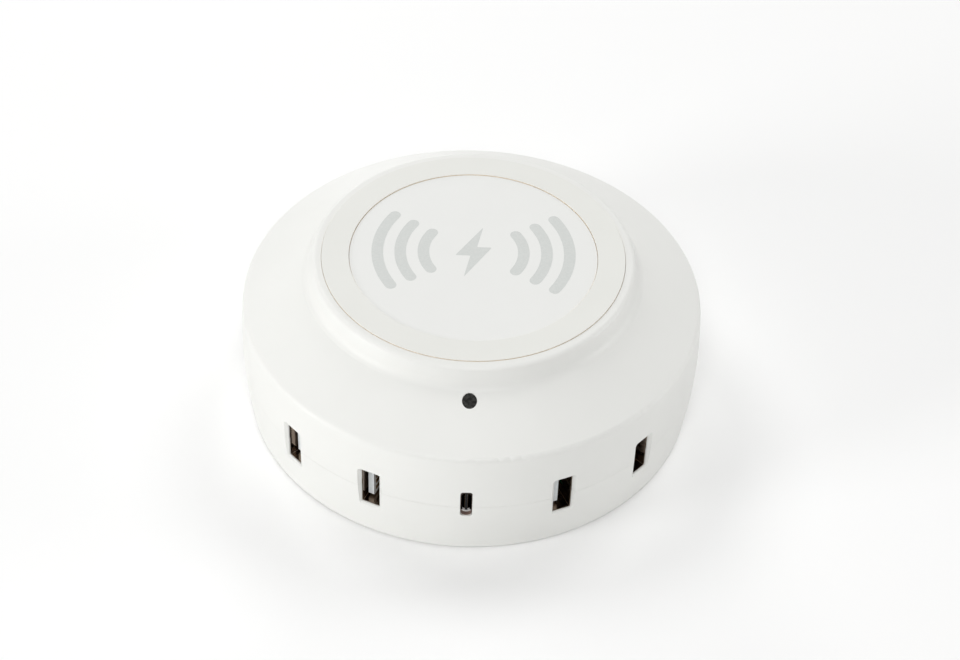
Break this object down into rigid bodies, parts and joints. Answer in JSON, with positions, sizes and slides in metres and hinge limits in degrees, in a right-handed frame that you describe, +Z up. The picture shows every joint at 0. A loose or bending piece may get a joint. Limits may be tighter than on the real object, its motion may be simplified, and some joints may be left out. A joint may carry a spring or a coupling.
{
  "type": "usb hub",
  "caption": "Round white desktop USB charging hub with upright sockets along the front edge and a flat wireless charging pad on top.",
  "frame": {"origin": "on the surface it stands on, under the middle of the round case", "axes": "+Z up out of the charging pad; the sockets and the indicator light face -Y, the mains inlet faces +Y; +X to the right seen from the front"},
  "size_m": [0.1332, 0.1332, 0.052],
  "materials": {
    "case_plastic": "white moulded ABS, fine matt texture",
    "ring_plastic": "slightly warmer white moulded trim, satin",
    "pad_plastic": "smooth white charging surface, matt",
    "smoked_acrylic": "dark smoked acrylic light pipe",
    "foot_rubber": "soft grey rubber",
    "screw_steel": "zinc-plated steel screws",
    "socket_metal": "nickel-plated folded sheet",
    "socket_insulator": "pale blue-grey moulded insulator",
    "socket_black": "black moulded insulator",
    "contact_gold": "gold-plated contact strip",
    "board_green": "green soldermask on glass-epoxy board",
    "part_black": "black moulded component body",
    "film_yellow": "yellow boxed film capacitor",
    "fuse_brown": "brown moulded fuse body",
    "dipped_blue": "blue dipped coating",
    "can_sleeve": "dark sleeve on aluminium can",
    "ferrite": "sintered ferrite",
    "copper_wire": "enamelled copper winding",
    "winding_tape": "yellow polyester tape over the winding",
    "heat_sink": "plain aluminium plate",
    "insulation": "pale insulating sheet",
    "moulding_white": "white inner moulding",
    "lamp": "diffused lamp body",
    "wire_insulation": "coloured wire insulation"
  },
  "bodies": {
    "root": {"board_screws": "screw_steel", "bottom_shell": "case_plastic", "bracket_screws": "screw_steel", "bridge_rectifier": "part_black", "buck_converter_chip": "part_black", "bulk_capacitors": "can_sleeve", "case_screws": "screw_steel", "charge_controllers": "part_black", "charging_coil": "copper_wire", "choke_core": "ferrite", "choke_windings": "copper_wire", "coil_board": "board_green", "coil_bracket": "moulding_white", "coil_capacitors": "film_yellow", "ferrite_disc": "ferrite", "film_capacitor": "film_yellow", "fuse": "fuse_brown", "inlet_pins": "socket_metal", "insulation_sheet": "insulation", "led_lamp": "lamp", "led_light_pipe": "smoked_acrylic", "led_shroud": "part_black", "mains_inlet": "part_black", "module_wires": "wire_insulation", "optocoupler": "part_black", "output_capacitors": "can_sleeve", "output_heat_sink": "heat_sink", "output_inductor": "ferrite", "output_rectifier": "part_black", "pad_disc": "pad_plastic", "pad_ring": "ring_plastic", "port_board": "board_green", "power_board": "board_green", "primary_heat_sink": "heat_sink", "rubber_feet": "foot_rubber", "safety_capacitor": "dipped_blue", "supply_wires": "wire_insulation", "switching_transistor": "part_black", "top_cover": "case_plastic", "transformer_bobbin": "part_black", "transformer_core": "ferrite", "transformer_winding": "winding_tape", "usb_a_contacts_1": "contact_gold", "usb_a_contacts_2": "contact_gold", "usb_a_contacts_3": "contact_gold", "usb_a_contacts_4": "contact_gold", "usb_a_shell_1": "socket_metal", "usb_a_shell_2": "socket_metal", "usb_a_shell_3": "socket_metal", "usb_a_shell_4": "socket_metal", "usb_a_tongue_1": "socket_insulator", "usb_a_tongue_2": "socket_insulator", "usb_a_tongue_3": "socket_insulator", "usb_a_tongue_4": "socket_insulator", "usb_c_contacts": "contact_gold", "usb_c_riser_board": "board_green", "usb_c_shell": "socket_metal", "usb_c_tongue": "socket_black", "varistor": "dipped_blue", "wireless_controller": "part_black"}
  },
  "joints": []
}
